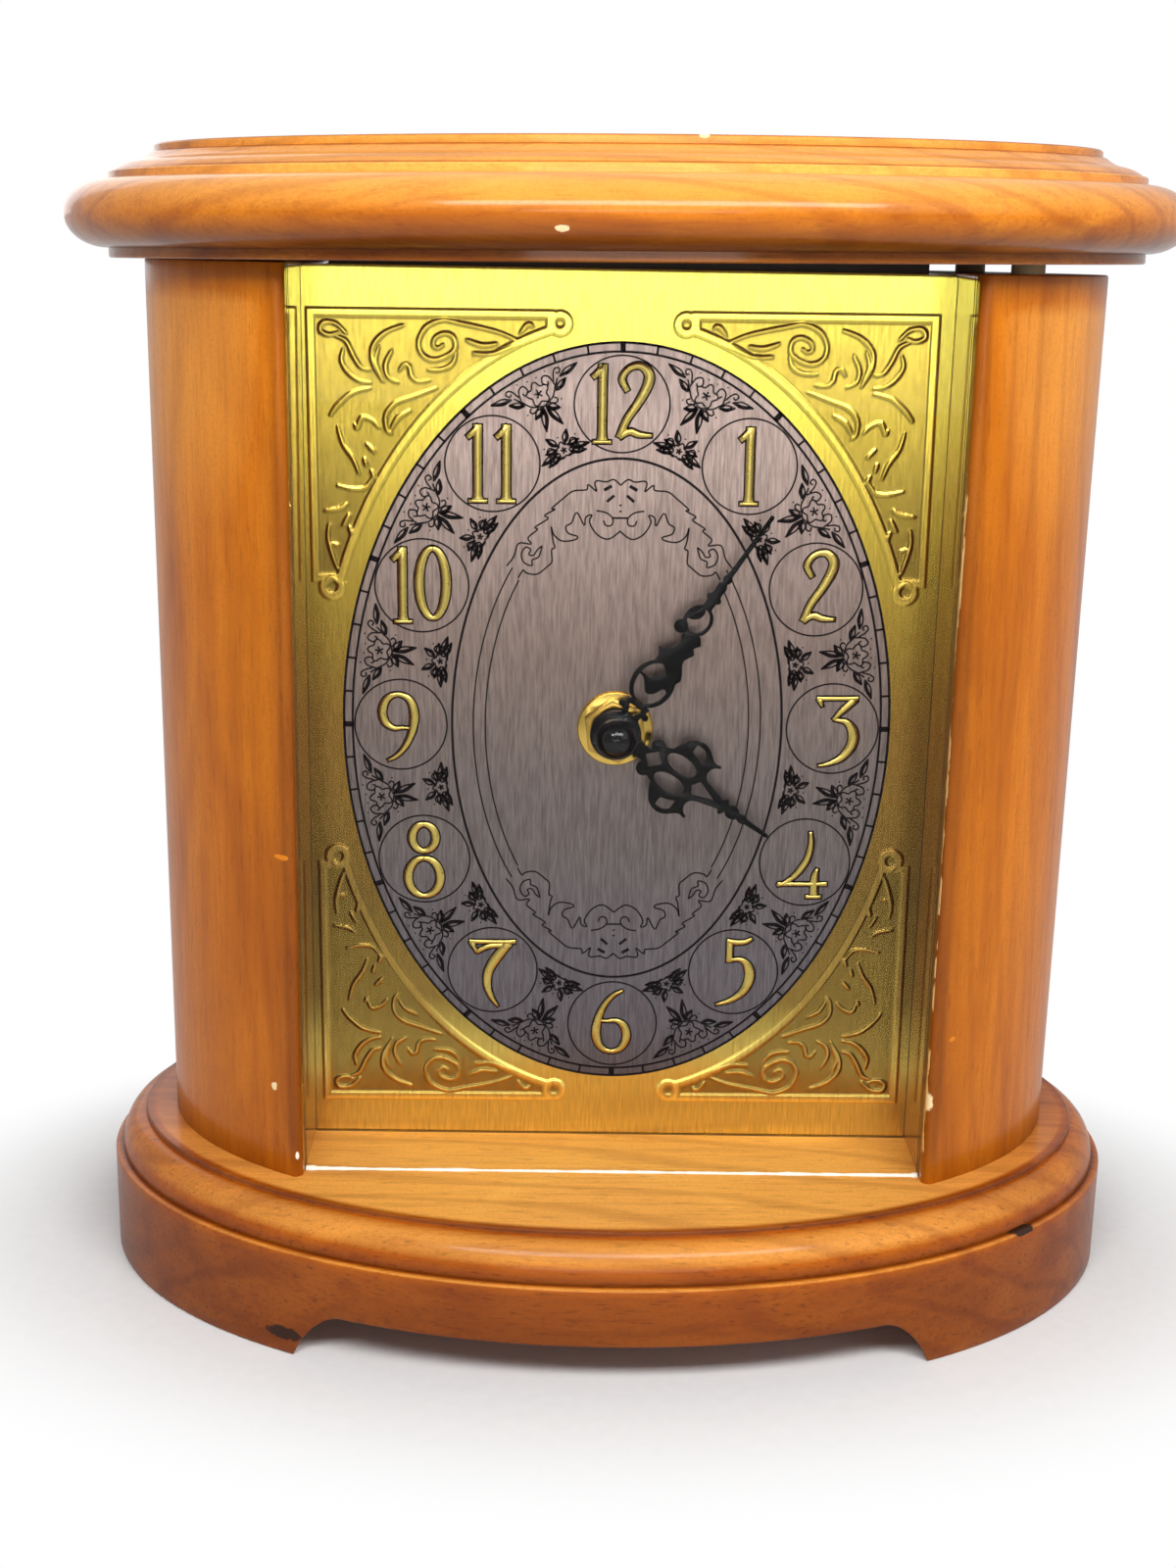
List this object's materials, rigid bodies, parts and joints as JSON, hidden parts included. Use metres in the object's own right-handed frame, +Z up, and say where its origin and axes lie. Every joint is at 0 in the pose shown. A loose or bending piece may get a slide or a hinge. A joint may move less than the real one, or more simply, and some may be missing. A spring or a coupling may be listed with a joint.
{
  "type": "mantel clock",
  "caption": "Oval wooden mantel clock: moulded base and top, columns, flat glass, brass dial with pierced hands, quartz movement and battery behind a cut-out back panel.",
  "frame": {"origin": "on the floor under the middle of the oval base", "axes": "+Z up, the dial faces -Y, +X is the viewer's right"},
  "size_m": [0.238, 0.158, 0.2513],
  "materials": {
    "case_wood": "amber-brown stain under satin lacquer",
    "dowel_wood": "bare beech",
    "hardboard": "brown hardboard",
    "clear_glass": "polished flat glass",
    "dial_brass": "brushed and lacquered, silvered oval",
    "turned_brass": "bright turned brass",
    "hand_black": "gloss black",
    "cap_black": "gloss black",
    "gasket_rubber": "matt",
    "movement_black": "fine texture",
    "wheel_plastic": "natural acetal",
    "stator_steel": "rolled",
    "coil_copper": "enamelled copper winding",
    "circuit_green": "solder mask",
    "battery_wrap": "plain dark wrap"
  },
  "bodies": {
    "case": {"base": "case_wood", "column_left": "case_wood", "column_right": "case_wood", "top_board": "case_wood", "base_dowels": "dowel_wood", "top_dowels": "dowel_wood", "dial_board": "hardboard", "back_panel": "hardboard", "glass_pane": "clear_glass", "dial_plate": "dial_brass", "dial_washer": "turned_brass", "hex_nut": "turned_brass", "movement_gasket": "gasket_rubber", "movement_case": "movement_black", "movement_cover": "movement_black", "stator": "stator_steel", "quartz_crystal": "stator_steel", "contact_negative": "stator_steel", "contact_positive": "stator_steel", "coil": "coil_copper", "circuit_board": "circuit_green"},
    "minute_group": {"minute_arbor": "turned_brass", "minute_hand": "hand_black", "hand_nut": "cap_black"},
    "hour_group": {"hour_wheel": "wheel_plastic", "hour_hand": "hand_black"},
    "setting_group": {"minute_wheel": "wheel_plastic", "set_knob": "movement_black"},
    "seconds_group": {"seconds_wheel": "wheel_plastic"},
    "third_group": {"third_wheel": "wheel_plastic"},
    "centre_group": {"centre_wheel": "wheel_plastic"},
    "intermediate_group": {"intermediate_wheel": "wheel_plastic"},
    "rotor_group": {"rotor": "wheel_plastic"},
    "battery_group": {"battery": "battery_wrap"}
  },
  "joints": [
    {"name": "minute_hand_turn", "type": "hinge", "parent": "case", "child": "minute_group", "pos_m": [-0.001, 0, 0.1292], "axis": [0, 1, 0], "continuous": true},
    {"name": "hour_hand_turn", "type": "hinge", "parent": "case", "child": "hour_group", "pos_m": [-0.001, 0, 0.1292], "axis": [0, 1, 0], "continuous": true},
    {"name": "setting_turn", "type": "hinge", "parent": "case", "child": "setting_group", "pos_m": [0.00956, 0, 0.1292], "axis": [0, 1, 0], "continuous": true},
    {"name": "seconds_wheel_turn", "type": "hinge", "parent": "case", "child": "seconds_group", "pos_m": [-0.001, 0, 0.1292], "axis": [0, 1, 0], "continuous": true},
    {"name": "third_wheel_turn", "type": "hinge", "parent": "case", "child": "third_group", "pos_m": [-0.0095, 0, 0.1292], "axis": [0, 1, 0], "continuous": true},
    {"name": "centre_wheel_turn", "type": "hinge", "parent": "case", "child": "centre_group", "pos_m": [-0.001, 0, 0.1292], "axis": [0, 1, 0], "continuous": true},
    {"name": "intermediate_wheel_turn", "type": "hinge", "parent": "case", "child": "intermediate_group", "pos_m": [-0.001, 0, 0.1364], "axis": [0, 1, 0], "continuous": true},
    {"name": "rotor_turn", "type": "hinge", "parent": "case", "child": "rotor_group", "pos_m": [0.0025, 0, 0.14246], "axis": [0, 1, 0], "continuous": true},
    {"name": "battery_slide", "type": "slide", "parent": "case", "child": "battery_group", "axis": [0, 1, 0], "range_m": [0, 0.03]}
  ],
  "couplings": [
    {"joint": "hour_hand_turn", "follows": "minute_hand_turn", "ratio": 0.083333},
    {"joint": "setting_turn", "follows": "minute_hand_turn", "ratio": -0.33333},
    {"joint": "intermediate_wheel_turn", "follows": "rotor_turn", "ratio": -0.16667},
    {"joint": "seconds_wheel_turn", "follows": "rotor_turn", "ratio": 0.033333},
    {"joint": "third_wheel_turn", "follows": "rotor_turn", "ratio": -0.0044444},
    {"joint": "centre_wheel_turn", "follows": "rotor_turn", "ratio": 0.00055556}
  ]
}
